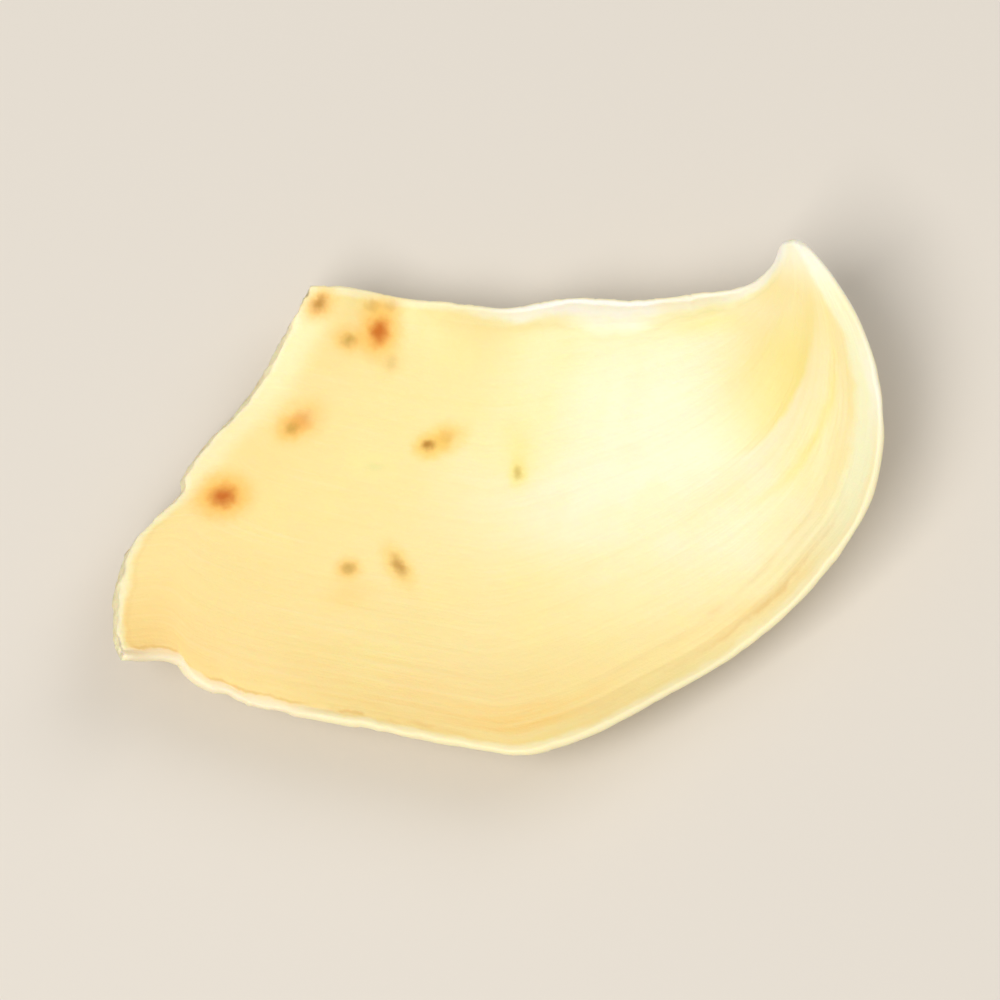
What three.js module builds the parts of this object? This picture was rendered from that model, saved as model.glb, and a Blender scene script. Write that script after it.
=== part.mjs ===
// A dried lily-bulb scale: one leaf of a lily bulb, broken off and dried to a thin, horny, cupped sheet.
// It lies on its belly with the hollow up.
//
// Millimetres, +Z up, with the origin on the table under the middle of the scale. +X runs along the scale,
// from the broad base, where it was broken off the bulb, to its rounded end. The tip is the ear that is
// curled up at +X +Y.
//
// The sheet is a grid of two parameters: along runs from the base (0) to the tip (1), as the veins do, and
// across runs from the upper margin, at +Y (0), to the lower margin (1).
import * as THREE from "three";

const { clamp, lerp, smoothstep } = THREE.MathUtils;

// The outline, seen from straight above, as [x, y] points. Each run starts where its parameter is 0.
const upperCorner = [-9.5, 11.5];
const lowerCorner = [-18.7, -8.2];
const tipUpperEnd = [14.1, 12.5];
const tipLowerEnd = [15.3, 12.2];
const basePoints = [upperCorner, [-12.3, 6.7], [-14.8, 3.7], [-15.8, 2.1], [-16.0, 1.2], [-17.4, -0.4],
  [-18.5, -1.9], [-19.0, -3.9], [-19.1, -6.7], lowerCorner];
const upperPoints = [upperCorner, [-6.4, 11.4], [-3.2, 10.9], [0.0, 10.6], [3.2, 10.8], [8.9, 10.7],
  [12.1, 10.9], [13.6, 11.6], tipUpperEnd];
const lowerPoints = [lowerCorner, [-16.4, -7.8], [-14.9, -9.0], [-12.0, -10.1], [-6.7, -11.2],
  [-0.8, -12.3], [1.3, -12.6], [4.6, -11.5], [8.6, -9.2], [11.4, -7.4], [15.1, -4.4], [17.9, -0.9],
  [18.9, 2.6], [18.7, 5.8], [17.8, 8.5], [16.5, 10.7], tipLowerEnd];
const tipPoints = [tipUpperEnd, [14.7, 12.5], tipLowerEnd];

// The hollow, a dish with an oval brim. Heights are those of the brim above the belly.
const dishMiddle = [0.7, 0.1];
const dishHalfLength = 19;
const dishHalfWidth = 12.3;
const sideHeight = 4.0; // at the brim's two sides
const sideGrowth = 0.6; // how much higher the sides get from the middle to the tip end
const endHeight = 3.2; // at the brim's two ends
const tipWallHeight = 3.4; // how much higher the tip end is, as a wall that starts late
const steepening = 0.2; // power that flattens the middle of the dish and steepens its walls

// The lips: the margins are bent up from the dish, at the upper margin until they stand upright.
const lipLength = 1.6; // along the bent sheet
const lipLengthLimit = 0.2; // no longer than this share of the sheet's width
const upperLipTurn = 1.45; // radians
const lowerLipTurn = 0.9;
const tightestLip = 0.8; // smallest radius of the bend
const barelyTurned = 1e-3; // radians, where a lip is flat

// The ear: the tip rises, and the lips, waves and folds die out towards it.
const earStart = 0.8; // along
const earHeight = 0.9;

// The folds fan out from the ear, and the margins are waved.
const foldHeight = 0.1;
const foldCrowding = 0.0015; // a fold is no higher than this times the square of the sheet's width
const foldStart = 0.4; // along
const folds = 3.7; // from margin to margin
const foldShift = 0.43; // of a fold
const waveHeight = 0.3;
const waves = 4;
const upperWaveShift = 0.5; // radians
const lowerWaveShift = 2;
const wavePower = 5; // how fast the waves die down from the margin inwards

// Thickness of the sheet.
const baseEdgeThickness = 1.3; // at the broken edge
const baseTaper = 0.08; // along, over which the base thins to that edge
const baseThickness = 2.0;
const tipThickness = 1.1;
const bellyThickness = (baseThickness + tipThickness) / 2;
const marginThickness = 0.75;
const thinningPower = 4; // how late the sheet thins towards the margins
const rimBulge = 0.26; // how far the rim is rounded out

const flatDepth = 0.16; // how much of the belly is worn flat, where the scale rests

// Facets.
const alongCells = 56;
const lipCells = 4;
const bodyCells = 24;
const acrossCells = bodyCells + 2 * lipCells;

// A smooth curve through points of the outline.
function outlineCurve(points) {
  const curve = new THREE.SplineCurve(points.map(([x, y]) => new THREE.Vector2(x, y)));
  curve.arcLengthDivisions = 1000;
  return curve;
}

const baseEdge = outlineCurve(basePoints);
const upperMargin = outlineCurve(upperPoints);
const lowerMargin = outlineCurve(lowerPoints);
const tipEdge = outlineCurve(tipPoints);

// The place from above of a point of the sheet: a Coons patch, which fills the outline's four runs.
function planPoint(along, across) {
  const sides = upperMargin.getPointAt(along).lerp(lowerMargin.getPointAt(along), across);
  const ends = baseEdge.getPointAt(across).lerp(tipEdge.getPointAt(across), along);
  const baseChord = baseEdge.getPoint(0).lerp(baseEdge.getPoint(1), across);
  const tipChord = tipEdge.getPoint(0).lerp(tipEdge.getPoint(1), across);
  return sides.add(ends).sub(baseChord.lerp(tipChord, along));
}

// The dish's height above the belly at a place: a paraboloid that is higher towards the tip end, with
// steeper walls.
function dishHeight({ x, y }) {
  const length = (x - dishMiddle[0]) / dishHalfLength;
  const width = (y - dishMiddle[1]) / dishHalfWidth;
  const reach = Math.hypot(length, width);
  const sides = (sideHeight + sideGrowth * length) * width ** 2;
  const ends = endHeight * length ** 2 + tipWallHeight * Math.max(length, 0) ** 4;
  return (sides + ends) * reach ** steepening;
}

// 1 over most of the sheet, falling to 0 at the tip.
function beforeEar(along) {
  return 1 - smoothstep(along, earStart, 1);
}

// One line of a lip, bent up on an arc: how far it lies in from the outline and how far above the dish.
// bent is 0 where the lip starts and 1 at its margin.
function lipArc(along, sheetWidth, isUpper, bent) {
  const length = Math.min(lipLength, lipLengthLimit * sheetWidth);
  const fullTurn = isUpper
    ? upperLipTurn * smoothstep(along, 0.1, 0.6)
    : lowerLipTurn * smoothstep(along, 0.2, 0.65);
  const turn = Math.max(Math.min(fullTurn, length / tightestLip) * beforeEar(along), barelyTurned);
  const radius = length / turn;
  const outermost = radius * Math.sin(Math.min(turn, Math.PI / 2));
  return { inset: outermost - radius * Math.sin(turn * bent), rise: radius * (1 - Math.cos(turn * bent)) };
}

// A point of the sheet's middle surface, at one crossing of the grid, and the thickness there.
function sheetPoint(column, row) {
  const along = column / alongCells;
  const sheetWidth = upperMargin.getPointAt(along).distanceTo(lowerMargin.getPointAt(along));
  const isUpper = row <= acrossCells / 2;
  const fromMargin = Math.min(row, acrossCells - row);
  const bent = Math.max(1 - fromMargin / lipCells, 0);
  const { inset, rise } = lipArc(along, sheetWidth, isUpper, bent);
  const upperStart = lipArc(along, sheetWidth, true, 0).inset;
  const lowerStart = sheetWidth - lipArc(along, sheetWidth, false, 0).inset;
  let place = isUpper ? inset : sheetWidth - inset;
  if (fromMargin > lipCells) place = lerp(upperStart, lowerStart, (row - lipCells) / bodyCells);
  const across = place / sheetWidth;

  const plan = planPoint(along, across);
  const toMargin = Math.abs(2 * across - 1);
  const ear = earHeight * (1 - beforeEar(along));
  const foldRoom = foldCrowding * sheetWidth ** 2;
  const foldTop = Math.min(foldHeight, foldRoom) * smoothstep(along, foldStart, earStart);
  const fold = foldTop * Math.cos(2 * Math.PI * (folds * across + foldShift));
  const waveShift = isUpper ? upperWaveShift : lowerWaveShift;
  const wave = waveHeight * toMargin ** wavePower * Math.sin(2 * Math.PI * waves * along + waveShift);
  const belly = bellyThickness / 2 - flatDepth;
  const height = belly + dishHeight(plan) + rise + ear + fold + wave * beforeEar(along);
  const tapered = Math.sin((Math.PI / 2) * Math.min(along / baseTaper, 1));
  const middle = lerp(baseEdgeThickness, lerp(baseThickness, tipThickness, along), tapered);
  return {
    point: new THREE.Vector3(plan.x, plan.y, height),
    thickness: lerp(middle, marginThickness, toMargin ** thinningPower),
  };
}

// The closed sheet: an upper face and a lower face, half the thickness to each side of the middle surface,
// joined all round by a rim with one bulged line. Both faces are split into the same triangles.
function sheetGeometry() {
  const at = (column, row) => column * (acrossCells + 1) + row;
  const grid = [];
  for (let column = 0; column <= alongCells; column++)
    for (let row = 0; row <= acrossCells; row++) grid.push(sheetPoint(column, row));

  const faces = [];
  for (let column = 0; column < alongCells; column++)
    for (let row = 0; row < acrossCells; row++) {
      const a = at(column, row);
      const b = at(column, row + 1);
      const c = at(column + 1, row + 1);
      const d = at(column + 1, row);
      faces.push([a, b, c], [a, c, d]);
    }

  const middle = new THREE.BufferGeometry().setFromPoints(grid.map(({ point }) => point));
  middle.setIndex(faces.flat());
  middle.computeVertexNormals();
  const normal = (index) => new THREE.Vector3().fromBufferAttribute(middle.attributes.normal, index);
  const face = (side) =>
    grid.map(({ point, thickness }, i) => point.clone().addScaledVector(normal(i), (side * thickness) / 2));
  const upperFace = face(1);
  const lowerFace = face(-1);
  for (const point of lowerFace) point.z = Math.max(point.z, 0); // the flat on the belly

  // Once round the grid's edge, against the clock from above.
  const edge = [];
  for (let row = 0; row < acrossCells; row++) edge.push([0, row]);
  for (let column = 0; column < alongCells; column++) edge.push([column, acrossCells]);
  for (let row = acrossCells; row > 0; row--) edge.push([alongCells, row]);
  for (let column = alongCells; column > 0; column--) edge.push([column, 0]);
  const rim = edge.map(([column, row]) => {
    const { point } = grid[at(column, row)];
    const innerColumn = clamp(column, 1, alongCells - 1);
    const innerRow = clamp(row, 1, acrossCells - 1);
    const inner = at(innerColumn, innerRow);
    const outward = point.clone().sub(grid[inner].point).normalize();
    return point.clone().addScaledVector(outward, rimBulge);
  });

  const lowerStart = grid.length;
  const rimStart = 2 * grid.length;
  const rimFaces = edge.flatMap(([column, row], i) => {
    const next = (i + 1) % edge.length;
    const [here, there] = [at(column, row), at(...edge[next])];
    const [rimHere, rimThere] = [rimStart + i, rimStart + next];
    return [
      [here, rimHere, there],
      [there, rimHere, rimThere],
      [rimHere, lowerStart + here, rimThere],
      [rimThere, lowerStart + here, lowerStart + there],
    ];
  });
  const lowerFaces = faces.map(([a, b, c]) => [lowerStart + a, lowerStart + c, lowerStart + b]);

  const geometry = new THREE.BufferGeometry().setFromPoints([...upperFace, ...lowerFace, ...rim]);
  geometry.setIndex([...faces, ...lowerFaces, ...rimFaces].flat());
  geometry.computeVertexNormals();
  return geometry;
}

const driedFlesh = new THREE.MeshStandardMaterial({ color: 0xf6e2ac, roughness: 0.5, metalness: 0 });
const bulbScale = new THREE.Mesh(sheetGeometry(), driedFlesh);
bulbScale.name = "bulb_scale";

const part = new THREE.Group();
part.add(bulbScale);

export default part;
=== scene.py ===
import math
import bpy
import numpy as np
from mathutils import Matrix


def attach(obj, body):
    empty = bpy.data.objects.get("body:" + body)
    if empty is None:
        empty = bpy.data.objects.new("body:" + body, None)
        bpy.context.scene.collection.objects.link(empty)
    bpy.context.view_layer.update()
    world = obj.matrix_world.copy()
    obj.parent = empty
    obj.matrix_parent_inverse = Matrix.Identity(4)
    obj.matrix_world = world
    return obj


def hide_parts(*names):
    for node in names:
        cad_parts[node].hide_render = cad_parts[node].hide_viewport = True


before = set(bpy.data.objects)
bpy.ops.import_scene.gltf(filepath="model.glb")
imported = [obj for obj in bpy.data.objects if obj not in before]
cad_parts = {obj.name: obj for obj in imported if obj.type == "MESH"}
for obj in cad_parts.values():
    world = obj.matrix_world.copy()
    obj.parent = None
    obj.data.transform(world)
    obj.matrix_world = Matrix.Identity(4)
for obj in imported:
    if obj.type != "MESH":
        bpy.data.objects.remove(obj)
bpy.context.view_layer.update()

mm = 0.001
print("frame loaded")


# 0 below low, 1 above high, and 3t^2 - 2t^3 between them.
def smoothStep(value, low, high):
    t = np.clip((value - low) / (high - low), 0, 1)
    return t * t * (3 - 2 * t)


# Soft random hills between -1 and 1: random numbers on a square lattice, blended between the four corners
# of each cell by smoothStep in both directions. One unit of a and b is one cell.
def softNoise(a, b, seed, cells=256):
    table = np.random.default_rng(seed).uniform(-1, 1, (cells, cells))
    a, b = np.asarray(a, float), np.asarray(b, float)
    i, j = np.floor(a).astype(int), np.floor(b).astype(int)
    s, t = smoothStep(a - i, 0, 1), smoothStep(b - j, 0, 1)
    i, j, nextI, nextJ = (index % cells for index in (i, j, i + 1, j + 1))
    near = table[i, j] * (1 - s) + table[nextI, j] * s
    far = table[i, nextJ] * (1 - s) + table[nextI, nextJ] * s
    return near * (1 - t) + far * t


# The sum of layers of soft noise, each with twice the detail and half the height of the one before.
def layeredNoise(a, b, seed, layers):
    total = sum(softNoise(a * 2 ** k, b * 2 ** k, seed + k) / 2 ** k for k in range(layers))
    return total / sum(1 / 2 ** k for k in range(layers))


# Layered noise for the margins, which changes along them alone. The two margins read it some cells apart,
# so that they differ.
def marginNoise(along, isUpper, lumps, apart, seed, layers=1):
    return layeredNoise(along * lumps, isUpper * apart, seed, layers)


# A smooth line through points, given as places at equal steps along it. Between two points it is a cubic,
# whose slope at each point is that of the chord between that point's two neighbours.
def smoothLine(points, count=4001):
    p = np.array([points[0], *points, points[-1]], float)
    turn = np.linspace(0, len(points) - 1, 2 * count - 1)
    k = np.minimum(turn.astype(int), len(points) - 2)
    t = (turn - k)[:, None]
    a, b, c, d = p[k], p[k + 1], p[k + 2], p[k + 3]
    line = b + 0.5 * t * (c - a + t * (2 * a - 5 * b + 4 * c - d + t * (3 * (b - c) + d - a)))
    reach = np.concatenate([[0], np.cumsum(np.linalg.norm(np.diff(line, axis=0), axis=1))])
    steps = np.linspace(0, reach[-1], count)
    return np.stack([np.interp(steps, reach, line[:, i]) for i in (0, 1)], -1)


# The place on such a line at a share of its length.
def lineAt(line, share):
    steps = np.linspace(0, 1, len(line))
    return np.stack([np.interp(share, steps, line[:, i]) for i in (0, 1)], -1)


# The base is where along is 0 and the tip where it is 1. The upper margin is at +Y.
sheetValues = {
    # the outline from above, x and y
    "upperCorner": (-9.5, 11.5), "lowerCorner": (-18.7, -8.2),
    "tipUpperEnd": (14.1, 12.5), "tipLowerEnd": (15.3, 12.2),
    "basePoints": [(-12.3, 6.7), (-14.8, 3.7), (-15.8, 2.1), (-16.0, 1.2), (-17.4, -0.4), (-18.5, -1.9),
                   (-19.0, -3.9), (-19.1, -6.7)],
    "upperPoints": [(-6.4, 11.4), (-3.2, 10.9), (0.0, 10.6), (3.2, 10.8), (8.9, 10.7), (12.1, 10.9),
                    (13.6, 11.6)],
    "lowerPoints": [(-16.4, -7.8), (-14.9, -9.0), (-12.0, -10.1), (-6.7, -11.2), (-0.8, -12.3),
                    (1.3, -12.6), (4.6, -11.5), (8.6, -9.2), (11.4, -7.4), (15.1, -4.4), (17.9, -0.9),
                    (18.9, 2.6), (18.7, 5.8), (17.8, 8.5), (16.5, 10.7)],
    "tipPoints": [(14.7, 12.5)],
    "length": 38, "breadth": 23,  # what along and across reach in the material

    # the dish
    "dishMiddle": (0.7, 0.1), "dishHalfLength": 19, "dishHalfWidth": 12.3,
    "sideHeight": 4.0, "sideGrowth": 0.6, "endHeight": 3.2, "tipWallHeight": 3.4, "steepening": 0.2,
    "swellHeight": 0.1, "swellSize": (5, 3.4), "swellShift": 40, "swellReach": (0.25, 0.6),  # soft dents
    "flatDepth": 0.16,  # how much of the belly is flat

    # the lips: turns in radians, and where along they turn up
    "lipLength": 1.6, "lipLengthLimit": 0.2, "tightestLip": 0.8, "flattestTurn": 0.001,
    "upperLipTurn": 1.45, "upperLipStart": (0.1, 0.6), "lowerLipTurn": 0.9, "lowerLipStart": (0.2, 0.65),
    "lipUnevenness": 0.12, "lipLumps": 17,

    # the ear, the folds that fan out from it, and the waves of the margins
    "earStart": 0.8, "earHeight": 1.05,
    "foldHeight": 0.1, "foldCrowding": 0.0015, "foldStart": 0.4, "folds": 3.7, "foldShift": 0.43,
    "waveHeight": 0.3, "waves": 4, "upperWaveShift": 0.5, "lowerWaveShift": 2, "wavePower": 5,

    # thickness; a taper is the share of the length over which an end thins to its edge
    "baseThickness": 2.0, "tipThickness": 1.1,
    "baseEdgeThickness": 1.2, "baseTaper": 0.08, "tipEdgeThickness": 0.6, "tipTaper": 0.07,
    "marginThickness": 0.36, "marginUnevenness": 0.35, "marginLumps": 30, "thinningPower": 3.5,

    # the rim, and the break at the base
    "rimBulge": 0.13, "baseBulge": 0.1, "baseSquareness": 0.5,
    "baseRoughness": 0.24, "pitLength": 5, "pitHeight": 1.8, "pitShift": 0.35,

    # nicks in the margins, and the lower corner, where they are deeper and the margin is turned up
    "nickDepth": 0.09, "nicks": 60, "nickShift": 0.05, "nickPower": 8, "cornerNicks": 4.5,
    "cornerReach": (0.1, 0.32), "curlHeight": 0.3, "curlWidth": 0.5, "curlSteadiness": 0.75,
    "curlLumps": 37,

    # relief of the inner face: veins, pores, and creases at a distance in from the lower margin
    "veinHeight": 0.006, "veins": 27, "veinBends": 1.5, "drift": 0.35, "driftBends": (5, 4),
    "poreHeight": 0.008, "poresPerMm": 2.1,
    "creases": (1.1, 2.05), "creaseDepth": 0.045, "creaseWidth": 0.13, "creaseDrift": 0.1,
    "creaseBends": 16, "creaseStart": (0.36, 0.5), "creaseEnd": (0.74, 0.84),

    # relief of the outer face: height, share of the finer wrinkles, counts across and along, and how much
    # of the veins' drift they follow
    "wrinkleHeight": 0.07, "fineShare": 0.6, "fineWrinkles": (17, 7), "broadWrinkles": (11, 9),
    "fineDrift": 2, "broadDrift": 3, "broadShift": 30,
    "reliefWidth": (3, 8),  # relief fades out where the sheet is narrower than this

    # the grid: cells, and how its lines are shared between each lip and the body
    "alongCells": 236, "acrossCells": 188, "rimLines": 5, "lipRows": 4, "bodyRows": 24,
}


# 1 over most of the sheet, falling smoothly to 0 at the tip.
def beforeEar(v, along):
    return 1 - smoothStep(along, v["earStart"], 1)


# 1 along the lower margin at the base, falling smoothly to 0 further along.
def byCorner(v, grid):
    return (1 - smoothStep(grid["along"], *v["cornerReach"])) * ~grid["isUpper"]


# How far each line of a lip lies in from the outline, and how far above the dish, on an arc of a set
# length and turn: radius times the sine and 1 less the cosine of the turn so far.
def lipArc(v, along, width, isUpper, bent):
    lumps = marginNoise(along, isUpper, v["lipLumps"], apart=7, seed=11)
    uneven = 1 + v["lipUnevenness"] * lumps
    length = np.minimum(v["lipLength"] * uneven, v["lipLengthLimit"] * width)
    fullTurn = np.where(isUpper, v["upperLipTurn"] * smoothStep(along, *v["upperLipStart"]),
                        v["lowerLipTurn"] * smoothStep(along, *v["lowerLipStart"]))
    turn = np.minimum(fullTurn, length / v["tightestLip"]) * beforeEar(v, along)
    turn = np.maximum(turn, v["flattestTurn"])
    radius = length / turn
    outermost = radius * np.sin(np.minimum(turn, math.pi / 2))
    return outermost - radius * np.sin(turn * bent), radius * (1 - np.cos(turn * bent))


# The grid's shares along and across, the outline beside each of its lines, and how far its lips rise. Lines
# are spaced evenly along the arc of each lip, and evenly from lip to lip.
def sheetGrid(v):
    rows = v["bodyRows"] + 2 * v["lipRows"]
    along, row = np.meshgrid(np.linspace(0, 1, v["alongCells"] + 1),
                             np.linspace(0, rows, v["acrossCells"] + 1), indexing="ij")
    corners = {"base": (v["upperCorner"], v["lowerCorner"]), "upper": (v["upperCorner"], v["tipUpperEnd"]),
               "lower": (v["lowerCorner"], v["tipLowerEnd"]), "tip": (v["tipUpperEnd"], v["tipLowerEnd"])}
    edges = {name: smoothLine([first, *v[name + "Points"], last])
             for name, (first, last) in corners.items()}
    upper, lower = lineAt(edges["upper"], along), lineAt(edges["lower"], along)
    width = np.linalg.norm(upper - lower, axis=-1)

    isUpper = row <= rows / 2
    bent = np.clip(1 - np.minimum(row, rows - row) / v["lipRows"], 0, 1)
    inset, rise = lipArc(v, along, width, isUpper, bent)
    start = lipArc(v, along, width, np.full_like(isUpper, True), 0)[0]
    stop = width - lipArc(v, along, width, np.full_like(isUpper, False), 0)[0]
    onLip = np.where(isUpper, inset, width - inset)
    onBody = start + (stop - start) * (row - v["lipRows"]) / v["bodyRows"]
    across = np.where(bent > 0, onLip, onBody) / width
    return {"along": along, "across": across, "width": width, "isUpper": isUpper, "rise": rise,
            "toMargin": np.abs(2 * across - 1), "edges": edges, "upper": upper, "lower": lower}


# The grid from above: a Coons patch, which is the two margins blended across, plus the two ends blended
# along, less the four corners blended both ways. Nicks push the margins in towards the middle line.
def sheetPlan(v, grid):
    along, across, upper, lower = (grid[name] for name in ("along", "across", "upper", "lower"))
    u, w = along[..., None], across[..., None]
    base, tip = (lineAt(grid["edges"][name], across) for name in ("base", "tip"))
    baseChord = np.array(v["upperCorner"]) * (1 - w) + np.array(v["lowerCorner"]) * w
    tipChord = np.array(v["tipUpperEnd"]) * (1 - w) + np.array(v["tipLowerEnd"]) * w
    plan = upper * (1 - w) + lower * w + base * (1 - u) + tip * u - baseChord * (1 - u) - tipChord * u

    inwards = (upper + lower) / 2 - plan
    inwards /= np.linalg.norm(inwards, axis=-1)[..., None] + 1e-6
    nick = marginNoise(along, grid["isUpper"], v["nicks"], apart=9, seed=21, layers=4)
    nick = np.clip(nick - v["nickShift"], 0, 1) * beforeEar(v, along)
    nick *= 1 + (v["cornerNicks"] - 1) * byCorner(v, grid)
    return plan + inwards * (v["nickDepth"] * nick * grid["toMargin"] ** v["nickPower"])[..., None]


# Heights over the floor: a paraboloid times a power of its reach, which steepens it, plus the lips, a
# raised ear, cosine folds, sine waves that die down inwards, soft dents, and the curl at the lower corner.
def sheetHeights(v, grid, plan):
    along, across, width = grid["along"], grid["across"], grid["width"]
    x, y = plan[..., 0], plan[..., 1]
    length = (x - v["dishMiddle"][0]) / v["dishHalfLength"]
    side = (y - v["dishMiddle"][1]) / v["dishHalfWidth"]
    reach = np.hypot(length, side)
    dish = (v["sideHeight"] + v["sideGrowth"] * length) * side ** 2
    dish += v["endHeight"] * length ** 2 + v["tipWallHeight"] * np.maximum(length, 0) ** 4
    dish *= reach ** v["steepening"]
    belly = (v["baseThickness"] + v["tipThickness"]) / 4 - v["flatDepth"]

    ear = v["earHeight"] * (1 - beforeEar(v, along))
    fold = np.minimum(v["foldHeight"], v["foldCrowding"] * width ** 2)
    fold *= smoothStep(along, v["foldStart"], v["earStart"])
    fold *= np.cos(2 * math.pi * (v["folds"] * across + v["foldShift"]))
    shift = np.where(grid["isUpper"], v["upperWaveShift"], v["lowerWaveShift"])
    wave = np.sin(2 * math.pi * v["waves"] * along + shift)
    wave *= v["waveHeight"] * grid["toMargin"] ** v["wavePower"]
    swellX, swellY = x / v["swellSize"][0] + v["swellShift"], y / v["swellSize"][1] + v["swellShift"]
    swell = v["swellHeight"] * softNoise(swellX, swellY, seed=31) * smoothStep(reach, *v["swellReach"])
    curl = v["curlHeight"] * byCorner(v, grid) * smoothStep((across - 1) * width, -v["curlWidth"], 0) ** 2
    curl *= v["curlSteadiness"] + marginNoise(along, grid["isUpper"], v["curlLumps"], apart=0, seed=27)
    return belly + dish + grid["rise"] + ear + fold + curl + (wave + swell) * beforeEar(v, along)


# Thickness: in a straight line from the base's to the tip's, thinned by a quarter sine at both ends, and by
# a power of the way from the middle line to the margins, where it is uneven.
def sheetThickness(v, grid):
    along = grid["along"]
    middle = v["baseThickness"] + (v["tipThickness"] - v["baseThickness"]) * along
    for end, fromEnd in (("base", along), ("tip", 1 - along)):
        edge = v[end + "EdgeThickness"]
        middle = edge + (middle - edge) * np.sin(math.pi / 2 * np.minimum(fromEnd / v[end + "Taper"], 1))
    lumps = marginNoise(along, grid["isUpper"], v["marginLumps"], apart=5, seed=25, layers=3)
    margin = v["marginThickness"] * (1 + v["marginUnevenness"] * lumps)
    return middle + (margin - middle) * grid["toMargin"] ** v["thinningPower"]


# Unit normals of a grid of points: the cross product of its steps one way and the other.
def gridNormals(points):
    normal = np.cross(np.gradient(points, axis=1), np.gradient(points, axis=0))
    return normal / np.linalg.norm(normal, axis=-1)[..., None]


# The two faces, half the thickness each side of the middle surface along its normals. The inner face has
# veins, as low ridges, and creases, as grooves that are exp(-(distance / width)^2) deep. The outer face has
# wrinkles, drawn out along the scale, and ends at the floor.
def sheetFaces(v, grid, points, thickness):
    along, across, width = grid["along"], grid["across"], grid["width"]
    normal = gridNormals(points)
    fade = beforeEar(v, along) * smoothStep(width, *v["reliefWidth"])
    drift = v["drift"] * softNoise(along * v["driftBends"][0], across * v["driftBends"][1], seed=41)
    veins = softNoise(across * v["veins"] + drift, along * v["veinBends"], seed=42) * v["veinHeight"]
    poreX, poreY = points[..., 0] * v["poresPerMm"], points[..., 1] * v["poresPerMm"]
    pores = v["poreHeight"] * layeredNoise(poreX, poreY, seed=43, layers=2)
    bends = marginNoise(along, grid["isUpper"], v["creaseBends"], apart=0, seed=44)
    fromLower = (1 - across) * width + v["creaseDrift"] * bends
    creases = sum(np.exp(-((fromLower - place) / v["creaseWidth"]) ** 2) for place in v["creases"])
    creases *= smoothStep(along, *v["creaseStart"]) * (1 - smoothStep(along, *v["creaseEnd"]))
    relief = (veins + pores) * fade - creases * v["creaseDepth"]

    (fineAcross, fineAlong), (broadAcross, broadAlong) = v["fineWrinkles"], v["broadWrinkles"]
    fine = layeredNoise(across * fineAcross + drift * v["fineDrift"], along * fineAlong, seed=51, layers=3)
    broad = layeredNoise(across * broadAcross + v["broadShift"],
                         along * broadAlong + drift * v["broadDrift"], seed=55, layers=2)
    wrinkles = v["fineShare"] * fine + (1 - v["fineShare"]) * (1 - 2 * np.abs(broad))

    inner = points + normal * (thickness / 2 + relief)[..., None]
    outer = points - normal * (thickness / 2 + wrinkles * v["wrinkleHeight"] * fade)[..., None]
    outer[..., 2] = np.maximum(outer[..., 2], 0)
    return inner, outer


# Grid corners once round the edge of the grid, against the clock from above.
def edgeLoop(rows, columns):
    i, j = np.arange(rows), np.arange(columns)
    loop = [np.stack([0 * j[:-1], j[:-1]], -1), np.stack([i[:-1], 0 * i[:-1] + columns - 1], -1),
            np.stack([0 * j[:-1] + rows - 1, j[:0:-1]], -1), np.stack([i[:0:-1], 0 * i[:-1]], -1)]
    return np.concatenate(loop)


# Four-sided faces between two closed lines of equal count, given as their first vertex numbers.
def ringFaces(first, second):
    return np.stack([first, second, np.roll(second, -1), np.roll(first, -1)], -1)


# The rim's lines, and the angle of each on half an ellipse, from the inner face's edge round the outside to
# the outer's. At the broken base its sine and cosine are raised to a power under 1, which squares the
# ellipse, and the edge is pitted.
def sheetRim(v, points, inner, outer, loop):
    i, j = loop[:, 0], loop[:, 1]
    nearI, nearJ = np.clip(i, 1, points.shape[0] - 2), np.clip(j, 1, points.shape[1] - 2)
    top, bottom = inner[i, j], outer[i, j]
    outward = points[i, j] - points[nearI, nearJ]
    outward /= np.linalg.norm(outward, axis=-1)[:, None]
    isBase = (i == 0).astype(float)
    angles = np.arange(1, v["rimLines"] + 1) * math.pi / (v["rimLines"] + 1)
    power = 1 + (v["baseSquareness"] - 1) * isBase
    sine, cosine = (wave[:, None] ** power for wave in (np.sin(angles), np.abs(np.cos(angles))))
    cosine *= np.sign(np.cos(angles))[:, None]
    bulge = v["rimBulge"] + (v["baseBulge"] - v["rimBulge"]) * isBase
    pits = layeredNoise(np.arange(len(loop)) / v["pitLength"], angles[:, None] * v["pitHeight"],
                        seed=61, layers=4)
    reach = (bulge + (pits - v["pitShift"]) * v["baseRoughness"] * isBase) * sine
    rim = (top + bottom) / 2 + (top - bottom) / 2 * cosine[..., None] + outward * reach[..., None]
    return rim, angles


# What the material reads: millimetres along and across, and in from the base and from each margin, and
# inside, which is 1 on the inner face and falls to 0 round the rim.
def sheetLengths(v, grid, points, loop, angles):
    along, across, width = grid["along"], grid["across"], grid["width"]
    steps = np.linalg.norm(np.diff(points, axis=0, prepend=points[:1]), axis=-1)
    lengths = {"along": along * v["length"], "across": across * v["breadth"],
               "fromBase": np.cumsum(steps, axis=0), "fromUpper": across * width,
               "fromLower": (1 - across) * width}
    i, j = loop[:, 0], loop[:, 1]
    lengths = {name: np.concatenate([values.ravel(), values.ravel(), np.tile(values[i, j], v["rimLines"])])
               for name, values in lengths.items()}
    lengths["inside"] = np.concatenate([np.ones(along.size), np.zeros(along.size),
                                        np.repeat(0.5 + 0.5 * np.cos(angles), len(loop))])
    return lengths


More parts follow.
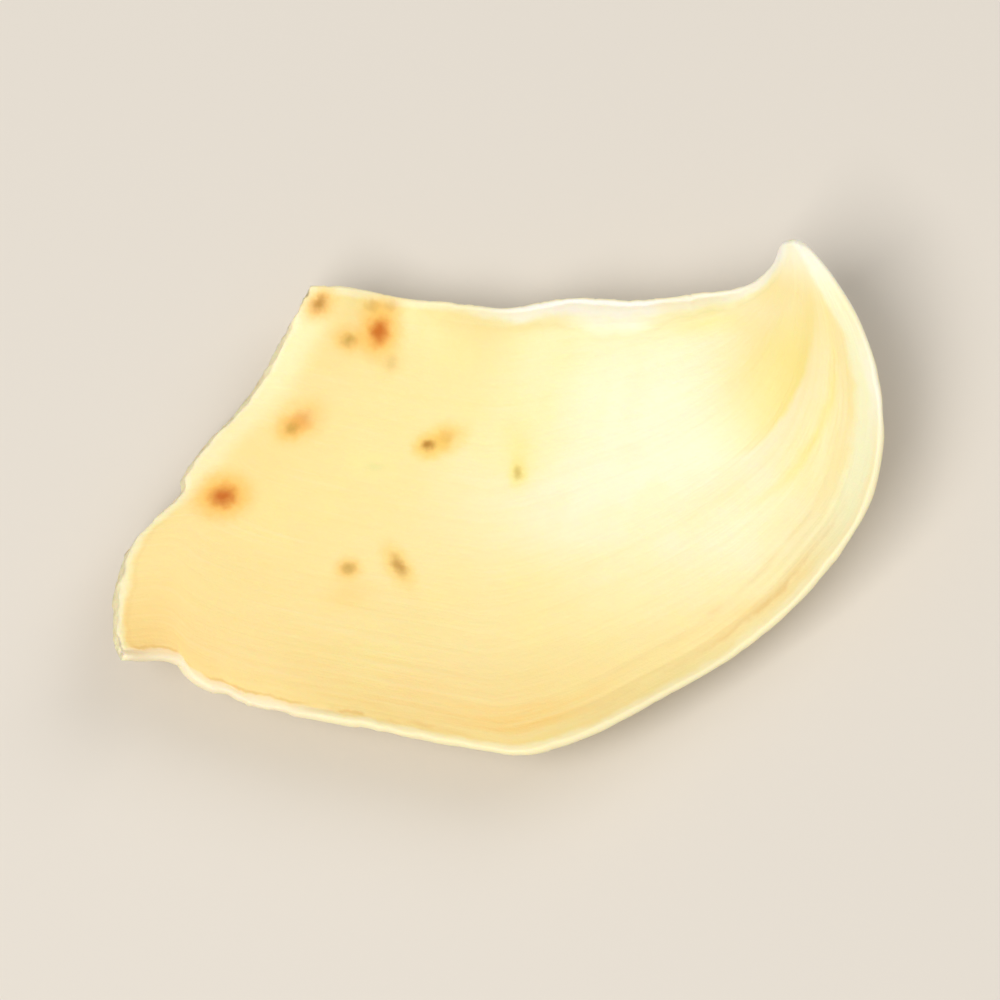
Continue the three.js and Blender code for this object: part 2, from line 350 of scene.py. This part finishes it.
# A closed sheet: the inner face, the outer face turned over, and a rim between them.
def makeSheet(v):
    grid = sheetGrid(v)
    plan = sheetPlan(v, grid)
    points = np.dstack([plan, sheetHeights(v, grid, plan)])
    inner, outer = sheetFaces(v, grid, points, sheetThickness(v, grid))
    rows, columns = inner.shape[:2]
    loop = edgeLoop(rows, columns)
    rim, angles = sheetRim(v, points, inner, outer, loop)
    verts = np.concatenate([inner.reshape(-1, 3), outer.reshape(-1, 3), rim.reshape(-1, 3)])

    numbers = np.arange(rows * columns).reshape(rows, columns)
    quads = [numbers[:-1, :-1], numbers[:-1, 1:], numbers[1:, 1:], numbers[1:, :-1]]
    quads = np.stack(quads, -1).reshape(-1, 4)
    edge = numbers[loop[:, 0], loop[:, 1]]
    firstOfRim = 2 * numbers.size + np.arange(len(loop))
    lines = [edge, *(firstOfRim + k * len(loop) for k in range(v["rimLines"])), numbers.size + edge]
    faces = [quads, (quads + numbers.size)[:, ::-1]]
    faces += [ringFaces(first, second) for first, second in zip(lines, lines[1:])]
    return verts, np.concatenate(faces), sheetLengths(v, grid, points, loop, angles)


# A mesh object from arrays, smooth-shaded, with one number attribute for each entry of values.
def meshObject(name, verts, faces, values):
    mesh = bpy.data.meshes.new(name)
    mesh.vertices.add(len(verts))
    mesh.vertices.foreach_set("co", (verts * mm).ravel())
    mesh.loops.add(faces.size)
    mesh.loops.foreach_set("vertex_index", faces.ravel())
    mesh.polygons.add(len(faces))
    mesh.polygons.foreach_set("loop_start", np.arange(0, faces.size, 4))
    mesh.update(calc_edges=True)
    mesh.validate()
    mesh.shade_smooth()
    for key, numbers in values.items():
        mesh.attributes.new(key, "FLOAT", "POINT").data.foreach_set("value", numbers.astype(np.float32))
    thing = bpy.data.objects.new(name, mesh)
    bpy.context.collection.objects.link(thing)
    return thing


# A node with its settings and inputs; an input is a number, a colour or another node's output.
def addNode(tree, kind, inputs=None, **settings):
    new = tree.nodes.new("ShaderNode" + kind)
    for key, value in settings.items():
        setattr(new, key, value)
    for key, value in (inputs or {}).items():
        if isinstance(value, bpy.types.NodeSocket):
            tree.links.new(value, new.inputs[key])
        else:
            new.inputs[key].default_value = value
    return new


# One sum on numbers, with the name of the operation.
def calc(tree, operation, *values):
    return addNode(tree, "Math", dict(enumerate(values)), operation=operation).outputs[0]


# The same on vectors. A length gives a number, the rest give a vector.
def vectorCalc(tree, operation, inputs):
    result = "Value" if operation == "LENGTH" else "Vector"
    return addNode(tree, "VectorMath", inputs, operation=operation).outputs[result]


# The product of all the numbers.
def times(tree, product, *others):
    for other in others:
        product = calc(tree, "MULTIPLY", product, other)
    return product


# atLow where a place is at low, and atHigh where it is at high, by smoothStep between them. High may be
# below low.
def ramp(tree, place, low, high, atLow=0.0, atHigh=1.0):
    return addNode(tree, "MapRange", {"Value": place, "From Min": low, "From Max": high, "To Min": atLow,
                                      "To Max": atHigh}, interpolation_type="SMOOTHSTEP").outputs["Result"]


# 1 where a place is between low and high, with soft sides: the product of a rising and a falling ramp.
def band(tree, place, low, high, soft):
    rise = ramp(tree, place, low - soft, low + soft)
    return times(tree, rise, ramp(tree, place, high + soft, high - soft))


# Soft random hills about 0.5 high, scale of them to a unit, with detail finer layers over them.
def noise(tree, vector, scale, detail, roughness):
    return addNode(tree, "TexNoise", {"Vector": vector, "Scale": scale, "Detail": detail,
                                      "Roughness": roughness}).outputs["Fac"]


# How far a place is from the middle of an oval, as a share of the oval's half axes there: the length of the
# place in the oval's own frame.
def fromOval(tree, place, middle, halfAxes, turn=0.0):
    own = addNode(tree, "Mapping", {"Vector": place, "Location": middle, "Rotation": (0.0, 0.0, turn),
                                    "Scale": halfAxes}, vector_type="TEXTURE").outputs[0]
    return vectorCalc(tree, "LENGTH", {0: own})


# One colour over another: below times 1 less the mask, plus the colour times the mask.
def layer(tree, below, colour, mask):
    new = addNode(tree, "Mix", data_type="RGBA", clamp_factor=True)
    for key, value in {0: mask, 6: below, 7: colour}.items():
        if isinstance(value, bpy.types.NodeSocket):
            tree.links.new(value, new.inputs[key])
        else:
            new.inputs[key].default_value = value if key == 0 else (*value, 1)
    return new.outputs[2]


fleshValues = {
    "cream": (0.96, 0.795, 0.39), "bandCream": (0.96, 0.90, 0.57), "paleCream": (0.96, 0.895, 0.65),
    "edgeCream": (1.0, 0.87, 0.56), "wallPale": (0.95, 0.92, 0.63), "lipWhite": (1.0, 0.97, 0.88),
    "warm": (0.95, 0.70, 0.24), "lemon": (0.95, 0.85, 0.36), "blush": (0.97, 0.74, 0.40),
    "amber": (0.95, 0.58, 0.15), "yellow": (0.94, 0.76, 0.23), "valleyGold": (0.90, 0.76, 0.20),
    "greenish": (0.68, 0.69, 0.32), "peach": (0.98, 0.80, 0.60), "creaseTan": (0.70, 0.45, 0.12),
    "outerTan": (0.72, 0.48, 0.20), "baseBrown": (0.36, 0.16, 0.05), "redBrown": (0.60, 0.15, 0.0),
    "darkTan": (0.46, 0.22, 0.02), "ochre": (0.74, 0.45, 0.07), "orange": (0.98, 0.54, 0.09),
    "olive": (0.45, 0.28, 0.03), "gold": (0.96, 0.63, 0.15),

    # places on the sheet with along made this much shorter, which draws a noise out along the sheet
    "drawnOut": 0.05, "finelyDrawn": 0.12, "puckered": 0.4,
    # name: place, scale (per mm), detail, roughness
    "noises": {
        "mottle": ("place", 0.16, 2.0, 0.5),
        "tint": ("place", 0.22, 2.0, 0.5),
        "patchy": ("place", 0.7, 2.0, 0.5),
        "fineMottle": ("place", 0.9, 3.0, 0.5),
        "flesh": ("place", 1.1, 4.0, 0.6),
        "grain": ("place", 6.0, 3.0, 0.6),
        "streaks": ("drawnOut", 1.3, 4.0, 0.6),
        "outerLines": ("drawnOut", 2.4, 3.0, 0.6),
        "veins": ("drawnOut", 3.2, 2.0, 0.5),
        "outerMottle": ("finelyDrawn", 0.9, 4.0, 0.6),
        "lines": ("finelyDrawn", 2.8, 3.0, 0.5),
        "puckers": ("puckered", 1.6, 4.0, 0.5),
    },
    "lineRange": (0.33, 0.66), "faintLines": (0.45, 0.4), "strongLines": (0.6, 0.4),  # growth and least

    # distances (mm) made uneven: name: distance, noise, amount
    "uneven": {
        "fromUp": ("fromUpper", "fineMottle", 0.6),
        "fromLow": ("fromLower", "fineMottle", 0.6),
        "byBreak": ("fromBase", "fineMottle", 0.8),
        "edge": ("nearest", "patchy", 0.5),
    },
    # the ear's two fold valleys, as shares of the width: growth with along, and start
    "valleys": {"fromFirst": (0.0085, 0.32), "fromSecond": (0.010, 0.467)},
    # distances as shares of a depth (mm) that changes: name: distance, place, from, to, depths at both
    "shares": {
        "farShare": ("fromLower", "along", 25.0, 22.5, 1.3, 3.6),
        "breakShare": ("byBreak", "across", 16.0, 9.0, 0.25, 1.0),
        "foldShare": ("fromFirst", "along", 35.0, 31.5, 1.4, 6.4),
        "wallShare": ("fromLow", "along", 34.0, 29.0, 0.85, 1.35),
    },
    "brightMiddle": (9.2, 3.2, 2.0), "brightHalfAxes": (14.5, 12.8, 30.0), "brightMottle": 0.6,  # pale oval
    # where along the lip's painted band and its painted highlight reach further in
    "broadHighlightAlong": (20.5, 26.5, 1.6), "lipDepth": (0.6, 0.4),  # where the lip is broad; growth and least
    # the white edge, by along, which on the upper lip is a painted highlight: on the lip, where the lip's
    # highlight is weaker, on the ear and how much; upperSide keeps it to the upper half, by fromUpper less
    # fromLower
    "lipStart": (11.0, 19.0), "lipHighlightStrength": (28.2, 26.2, 0.55, 1.0), "upperSide": (1.0, -1.0),
    "earWhite": (31.6, 34.0, 1.8), "earWhiteness": 0.65,
    "creaseGrowth": (20.0, 25.0, 0.26, 0.56),  # the creases' strength, by along
    "stainMottle": 9.0, "outerEdgeMottle": 2.6, "outerEdgeLines": 1.6,  # how uneven the outer colours are
    # the brown ends of the veins at the break
    "veinEndsPerMm": 0.85, "veinEndScatter": 0.9, "veinEndRows": 0.9, "veinEndSize": (0.5, 0.6),
    "veinEndFray": 0.3,

    # Colours from the lowest to the top: colour, strength, and masks. A mask is a place with two limits,
    # between which it grows from 0 to 1, or with a band's two limits and softness, or a mask's name.
    "innerColours": [
        # pale in the middle and towards the tip, warmer towards the base and the lower margin
        ("cream", 1.0, ("fromBright", 0.5, 1.3)),
        ("warm", 0.37, ("fromBright", 0.9, 2.0), ("along", 33.0, 22.0)),
        ("lemon", 0.22, ("tint", 0.52, 0.68)),
        ("blush", 0.16, ("tint", 0.48, 0.32)),
        ("warm", 0.13, ("streaks", 0.45, 0.75)),
        ("paleCream", 0.1, ("veins", 0.54, 0.74)),
        # amber inside the lower margin, with fine lines along it, and at the lower corner
        ("amber", 0.28, ("fromLower", 5.2, 1.4), ("along", 6.0, 17.0, 6.0), ("faintLines",)),
        ("amber", 0.5, ("fromLower", 0.8, 2.0, 0.5), ("along", 12.5, 17.0, 2.2), ("strongLines",)),
        ("amber", 0.325, ("farShare", 0.2, 0.62, 0.25), ("along", 21.8, 26.8, 1.6), ("strongLines",)),
        ("amber", 0.38, ("along", 6.0, 0.5), ("fromLower", 5.0, 0.8)),
        # a pale band along the break, broad above and narrow below, with a thin tan line inside it
        ("bandCream", 0.6, ("breakShare", 2.2, 0.6)),
        ("creaseTan", 0.13, ("byBreak", 0.55, 0.7, 0.16), ("across", 13.0, 16.0)),
        # the ear, yellow, with painted shade in gold in its fold valleys and in the hollow under the lip;
        # the first valley's painted shade fades off slowly
        ("yellow", 0.18, ("along", 22.0, 33.0)),
        ("valleyGold", 0.68, ("foldShare", -1.0, 0.0), ("fromFirst", 0.6, 0.1), ("along", 27.7, 34.3, 2.6)),
        ("valleyGold", 0.68, ("fromSecond", -0.25, 0.1, 0.35), ("along", 27.0, 34.0, 3.0)),
        ("valleyGold", 0.4, ("fromUpper", 0.75, 1.8, 0.6), ("along", 27.6, 31.8, 2.0)),
        # painted shadow lines, greenish, where the pale wall by the ear and the upper lip start; then the
        # wall, and the lip, paled and given a painted highlight
        ("greenish", 0.34, ("wallShare", 1.0, 1.12, 0.16), ("along", 24.0, 29.0, 3.0)),
        ("greenish", 0.34, ("lipShare", 1.35, 1.5, 0.3), ("along", 11.0, 19.0)),
        ("wallPale", 1.0, ("wallShare", 1.1, 0.6), ("along", 25.5, 29.5)),
        ("bandCream", 0.55, ("fromLow", 2.35, 2.7, 0.35), ("along", 28.3, 30.8, 1.0)),
        # the upper lip paled: partly its own pale colour, partly painted light on its shaded upright face
        ("bandCream", 1.0, ("lipShare", 1.7, 0.3), ("along", 11.0, 19.0)),
        # a painted white highlight where the lip's band is broad
        ("lipWhite", 0.6, ("lipShare", 1.7, 0.3), ("along", 20.5, 26.5, 1.6)),
        # tan creases inside the lower margin
        ("creaseTan", 0.35, ("fromLow", 1.9, 2.15, 0.24), ("along", 18.0, 27.0, 3.5),
         ("fineMottle", 0.32, 0.62), ("creaseGrowth",)),
        ("creaseTan", 1.0, ("fromLow", 0.65, 0.9, 0.2), ("along", 18.0, 27.0, 3.5),
         ("fineMottle", 0.32, 0.62), ("creaseGrowth",)),
        # at the lower corner, a tan line inside the turned-up curl: partly the dried edge, partly painted
        # shadow of the curl
        ("creaseTan", 0.7, ("fromLow", 0.42, 0.54, 0.13), ("along", 13.0, 9.0), ("patchy", 0.4, 0.58)),
        # the pale edge all round, peach at the lower corner and white at the lip, the ear and the tip; the
        # white on the lip's edge and at the tip is a painted highlight
        ("edgeCream", 0.85, ("edge", 0.32, 0.06)),
        ("peach", 0.6, ("fromLow", 0.5, 0.3), ("along", 9.0, 5.0)),
        ("lipWhite", 0.92, ("edge", 0.42, 0.12), ("whiteEdge",)),
        # painted highlight: white towards the tip
        ("lipWhite", 0.6, ("along", 35.5, 37.8)),
    ],
    # tan, mottled along the wrinkles, with a brown stain at the base and pale margins
    "outerColours": [
        ("outerTan", 0.55, ("outerMottle", 0.4, 0.75)),
        ("greenish", 0.2, ("mottle", 0.5, 0.75)),
        ("baseBrown", 0.35, ("stain", 9.0, 3.5)),
        ("amber", 0.2, ("outerLines", 0.55, 0.72)),
        ("paleCream", 0.6, ("outerEdge", 4.6, 2.0)),
        ("edgeCream", 0.7, ("edge", 0.42, 0.12)),
        # painted highlight: white on the outer face towards the tip
        ("lipWhite", 0.85, ("along", 33.0, 36.5)),
    ],
    # the break: stained flesh with the brown ends of veins
    "breakColours": [
        ("outerTan", 0.42, ("flesh", 0.35, 0.7)),
        ("baseBrown", 0.34, ("fromVein", 0.42, 0.2)),
    ],
    "breakMasks": [("along", 0.25, 0.0), ("inside", 0.62, 0.25)],
    "innerMask": ("inside", 0.1, 0.6),

    # x, y, half length, half width (mm), turn (degrees), strength, core and halo colours
    "spots": [
        (-6.1, 9.6, 0.56, 0.44, 70, 0.95, "redBrown", "orange"),
        (-6.4, 10.8, 0.34, 0.26, 10, 0.35, "olive", "gold"),
        (-5.5, 10.9, 0.36, 0.24, 10, 0.3, "olive", "orange"),
        (-13.9, 1.0, 0.62, 0.48, 20, 1.0, "redBrown", "orange"),
        (-10.1, 5.0, 0.6, 0.38, 35, 0.5, "redBrown", "orange"),
        (-10.5, 4.7, 0.34, 0.24, 20, 0.5, "olive", "orange"),
        (-9.1, 10.7, 0.4, 0.3, 40, 0.8, "darkTan", "orange"),
        (-2.9, 4.4, 0.56, 0.32, 25, 0.75, "ochre", "gold"),
        (-3.6, 4.1, 0.34, 0.25, 20, 0.95, "darkTan", "gold"),
        (0.9, 2.8, 0.3, 0.19, 90, 0.6, "olive", "valleyGold"),
        (1.0, 3.8, 0.8, 0.4, 90, 0.22, "valleyGold", "valleyGold"),
        (-7.6, -2.4, 0.28, 0.27, 0, 0.6, "olive", "orange"),
        (-7.6, -3.8, 0.6, 0.45, 0, 0.14, "orange", "orange"),
        (-5.1, -2.2, 0.56, 0.28, 118, 0.7, "darkTan", "gold"),
        (-7.6, 9.1, 0.34, 0.28, 0, 0.6, "olive", "orange"),
        (-5.5, 8.1, 0.38, 0.28, 60, 0.26, "olive", "gold"),
        (-6.3, 2.9, 0.5, 0.3, 0, 0.35, "greenish", "lemon"),
    ],
    "haloLimits": (3.6, 0.8), "haloShare": 0.9, "coreLimits": (1.8, 0.1),  # in half axes of the spot
    "spotFray": 0.4, "spotFrayScale": 2.0, "spotFrayDetail": 2.0,

    "veinRelief": 1.2, "grainRelief": 0.5, "puckerRelief": 1.6, "reliefStrength": 0.24,
    "reliefHeight": 0.0001,  # m
    "grainRange": (0.2, 0.8), "roughness": (0.40, 0.54), "shine": 0.4,
    "glow": 0.35, "glowDepth": 0.0012, "glowColour": (1.0, 0.55, 0.22),  # light that passes through
}


# Places in millimetres: in the part's own frame, on the sheet from its attributes, and drawn out along the
# sheet, which is its place with along made shorter.
def sheetPlaces(tree, v):
    names = ("along", "across", "fromBase", "fromUpper", "fromLower", "inside")
    at = {name: addNode(tree, "Attribute", attribute_name=name).outputs["Fac"] for name in names}
    inMetres = addNode(tree, "TexCoord").outputs["Object"]
    at["place"] = vectorCalc(tree, "SCALE", {0: inMetres, "Scale": 1 / mm})
    onSheet = addNode(tree, "CombineXYZ", {0: at["along"], 1: at["across"]}).outputs[0]
    for name in ("drawnOut", "finelyDrawn", "puckered"):
        at[name] = addNode(tree, "Mapping", {"Vector": onSheet, "Scale": (v[name], 1.0, 1.0)}).outputs[0]
    return at


# Adds the noises, and the distances that masks are worked out from. An uneven distance is the distance plus
# a noise times its amount, less half of the amount. A share is a distance over a depth.
def addDistances(tree, v, at):
    for name, (place, *settings) in v["noises"].items():
        at[name] = noise(tree, at[place], *settings)
    nearer = calc(tree, "MINIMUM", at["fromUpper"], at["fromLower"])
    at["nearest"] = calc(tree, "MINIMUM", nearer, at["fromBase"])
    for name, (distance, ofNoise, amount) in v["uneven"].items():
        lowered = calc(tree, "SUBTRACT", at[distance], amount / 2)
        at[name] = calc(tree, "MULTIPLY_ADD", at[ofNoise], amount, lowered)
    width = calc(tree, "ADD", at["fromUpper"], at["fromLower"])
    for name, (growth, start) in v["valleys"].items():
        valley = times(tree, width, calc(tree, "MULTIPLY_ADD", at["along"], growth, start))
        at[name] = calc(tree, "SUBTRACT", at["fromUp"], valley)
    for name, (distance, place, *limits) in v["shares"].items():
        at[name] = calc(tree, "DIVIDE", at[distance], ramp(tree, at[place], *limits))
    lipDepth = calc(tree, "MULTIPLY_ADD", band(tree, at["along"], *v["broadHighlightAlong"]), *v["lipDepth"])
    at["lipShare"] = calc(tree, "DIVIDE", at["fromUp"], lipDepth)
    bright = fromOval(tree, at["place"], v["brightMiddle"], v["brightHalfAxes"])
    at["fromBright"] = calc(tree, "MULTIPLY_ADD", at["mottle"], v["brightMottle"], bright)
    at["stain"] = calc(tree, "MULTIPLY_ADD", at["outerMottle"], v["stainMottle"], at["along"])
    outerEdge = calc(tree, "MULTIPLY_ADD", at["outerLines"], v["outerEdgeLines"], nearer)
    at["outerEdge"] = calc(tree, "MULTIPLY_ADD", at["outerMottle"], v["outerEdgeMottle"], outerEdge)


# Adds the masks that aren't plain limits of one place: two strengths of the fine lines, the creases' growth
# along the margin, and the white of the edge, which is the larger of the ear's and the upper lip's, the
# latter a painted highlight.
def addMasks(tree, v, at):
    lines = ramp(tree, at["lines"], *v["lineRange"])
    for name in ("faintLines", "strongLines"):
        at[name] = calc(tree, "MULTIPLY_ADD", lines, *v[name])
    at["creaseGrowth"] = ramp(tree, at["along"], *v["creaseGrowth"])
    upperSide = ramp(tree, calc(tree, "SUBTRACT", at["fromUpper"], at["fromLower"]), *v["upperSide"])
    lipWhite = times(tree, upperSide, ramp(tree, at["along"], *v["lipStart"]),
                     ramp(tree, at["along"], *v["lipHighlightStrength"]))
    earWhite = times(tree, band(tree, at["along"], *v["earWhite"]), v["earWhiteness"])
    at["whiteEdge"] = calc(tree, "MAXIMUM", lipWhite, earWhite)


# Adds the distance from the brown ends of the veins, which are scattered over the break: the distance to
# the nearest of a set of points, over a size that differs from point to point, frayed by a noise.
def addVeinEnds(tree, v, at):
    onBreak = addNode(tree, "CombineXYZ", {0: at["across"], 1: times(tree, at["inside"], v["veinEndRows"])})
    ends = addNode(tree, "TexVoronoi", {"Vector": onBreak.outputs[0], "Scale": v["veinEndsPerMm"],
                                        "Randomness": v["veinEndScatter"]}, voronoi_dimensions="2D")
    drawn = addNode(tree, "SeparateXYZ", {0: ends.outputs["Color"]}).outputs[0]
    size = calc(tree, "MULTIPLY_ADD", drawn, *v["veinEndSize"])
    distance = calc(tree, "DIVIDE", ends.outputs["Distance"], size)
    at["fromVein"] = calc(tree, "MULTIPLY_ADD", at["flesh"], v["veinEndFray"], distance)


# One mask: a ramp for two limits, a band for two limits and a softness, or the number itself.
def maskOf(tree, at, place, *limits):
    if not limits:
        return at[place]
    return (ramp if len(limits) == 2 else band)(tree, at[place], *limits)


# Colours laid over one another, each by its strength times the product of its masks.
def paint(tree, v, at, colour, patches):
    for name, strength, *masks in patches:
        mask = times(tree, *(maskOf(tree, at, *mask) for mask in masks), strength)
        colour = layer(tree, colour, v[name], mask)
    return colour


# Spots on the inner face: frayed ovals, each with a wide, weak halo under a small core.
def paintSpots(tree, v, at, colour):
    fray = addNode(tree, "TexNoise", {"Vector": at["place"], "Scale": v["spotFrayScale"],
                                      "Detail": v["spotFrayDetail"]})
    fray = vectorCalc(tree, "SUBTRACT", {0: fray.outputs["Color"], 1: (0.5, 0.5, 0.5)})
    fray = vectorCalc(tree, "SCALE", {0: fray, "Scale": v["spotFray"]})
    frayed = vectorCalc(tree, "ADD", {0: at["place"], 1: fray})
    flat = vectorCalc(tree, "MULTIPLY", {0: frayed, 1: (1.0, 1.0, 0.0)})
    for x, y, halfLength, halfWidth, turn, strength, core, halo in v["spots"]:
        spot = fromOval(tree, flat, (x, y, 0.0), (halfLength, halfWidth, 1.0), math.radians(turn))
        for name, limits, share in ((halo, v["haloLimits"], v["haloShare"]), (core, v["coreLimits"], 1.0)):
            mask = times(tree, ramp(tree, spot, *limits, 0.0, share * strength), at["inside"])
            colour = layer(tree, colour, v[name], mask)
    return colour


# Dried flesh: pale, horny and a little translucent. Each face and the break are painted by where a point
# lies on the sheet, with painted shade in the ear's folds, under the upper lip and in thin greenish lines,
# and painted highlights on the upper lip and at the tip, and a fine relief of veins, grain and puckers is
# added.
def fleshMaterial(v):
    material = bpy.data.materials.new("driedFlesh")
    material.use_nodes = True
    tree = material.node_tree
    tree.nodes.clear()
    at = sheetPlaces(tree, v)
    addDistances(tree, v, at)
    addMasks(tree, v, at)
    addVeinEnds(tree, v, at)
    inner = paintSpots(tree, v, at, paint(tree, v, at, v["paleCream"], v["innerColours"]))
    outer = paint(tree, v, at, v["cream"], v["outerColours"])
    broken = paint(tree, v, at, v["bandCream"], v["breakColours"])
    colour = layer(tree, outer, inner, maskOf(tree, at, *v["innerMask"]))
    isBroken = times(tree, *(maskOf(tree, at, *mask) for mask in v["breakMasks"]))
    colour = layer(tree, colour, broken, isBroken)

    relief = times(tree, at["grain"], v["grainRelief"])
    relief = calc(tree, "MULTIPLY_ADD", at["veins"], v["veinRelief"], relief)
    relief = calc(tree, "MULTIPLY_ADD", at["puckers"], v["puckerRelief"], relief)
    bump = addNode(tree, "Bump", {"Height": relief, "Strength": v["reliefStrength"],
                                  "Distance": v["reliefHeight"]}).outputs[0]
    shader = addNode(tree, "BsdfPrincipled", {
        "Base Color": colour, "Roughness": ramp(tree, at["grain"], *v["grainRange"], *v["roughness"]),
        "Normal": bump, "Subsurface Weight": v["glow"], "Subsurface Radius": v["glowColour"],
        "Subsurface Scale": v["glowDepth"], "Specular IOR Level": v["shine"],
    })
    target = addNode(tree, "OutputMaterial")
    tree.links.new(shader.outputs[0], target.inputs[0])
    return material


verts, faces, values = makeSheet(sheetValues)
bulbScale = meshObject("bulbScale", verts, faces, values)
bulbScale.data.materials.append(fleshMaterial(fleshValues))
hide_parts("bulb_scale")
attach(bulbScale, "root")
print("scale made:", len(verts), "vertices,", len(faces), "faces")


studioValues = {
    "floorSize": 2.0, "floorGap": 0.00002, "floorColour": (0.72, 0.68, 0.62), "floorRoughness": 0.7,
    "worldColour": (1.0, 0.98, 0.95), "worldStrength": 0.36,
    # name, place (m), side (m), power (W), colour
    "lamps": [
        ("key", (-0.16, -0.18, 0.44), 0.26, 1.71, (1.0, 0.97, 0.93)),
        ("fill", (0.24, 0.22, 0.38), 0.35, 0.66, (1.0, 0.98, 0.95)),
    ],
    "elevation": 74, "lens": 280, "frameWidth": 0.050, "target": (0.0, 0.0005, 0.0045),
    "clip": (0.01, 10),
}


# A flat square floor, a hair under the part.
def makeFloor(v):
    half, z = v["floorSize"] / 2, -v["floorGap"]
    corners = [(-half, -half, z), (half, -half, z), (half, half, z), (-half, half, z)]
    mesh = bpy.data.meshes.new("floor")
    mesh.from_pydata(corners, [], [(0, 1, 2, 3)])
    floor = bpy.data.objects.new("floor", mesh)
    bpy.context.collection.objects.link(floor)
    material = bpy.data.materials.new("paleFloor")
    material.use_nodes = True
    shader = material.node_tree.nodes["Principled BSDF"]
    shader.inputs["Base Color"].default_value = (*v["floorColour"], 1)
    shader.inputs["Roughness"].default_value = v["floorRoughness"]
    mesh.materials.append(material)


# Square soft lamps, turned towards the part, and an even pale sky.
def makeLights(v):
    for name, place, side, power, colour in v["lamps"]:
        lamp = bpy.data.lights.new(name, "AREA")
        lamp.shape, lamp.size, lamp.energy, lamp.color = "SQUARE", side, power, colour
        thing = bpy.data.objects.new(name, lamp)
        thing.location = place
        thing.rotation_euler = (-thing.location).to_track_quat("-Z", "Y").to_euler()
        bpy.context.collection.objects.link(thing)
    world = bpy.data.worlds.new("studio")
    world.use_nodes = True
    sky = world.node_tree.nodes["Background"]
    sky.inputs["Color"].default_value = (*v["worldColour"], 1)
    sky.inputs["Strength"].default_value = v["worldStrength"]
    bpy.context.scene.world = world


# The camera looks down on the part from the front, from far enough away that the frame is frameWidth wide
# at the target: distance = frame width times lens over sensor width.
def makeCamera(v):
    lens = bpy.data.cameras.new("camera")
    lens.lens = v["lens"]
    distance = v["frameWidth"] * lens.lens / lens.sensor_width
    lens.clip_start, lens.clip_end = v["clip"]
    camera = bpy.data.objects.new("camera", lens)
    tilt = math.radians(v["elevation"])
    x, y, z = v["target"]
    camera.location = (x, y - distance * math.cos(tilt), z + distance * math.sin(tilt))
    camera.rotation_euler = (math.pi / 2 - tilt, 0, 0)
    bpy.context.collection.objects.link(camera)
    bpy.context.scene.camera = camera


makeFloor(studioValues)
makeLights(studioValues)
makeCamera(studioValues)
bpy.context.scene.view_settings.view_transform = "Standard"
print("floor, lights and camera made")
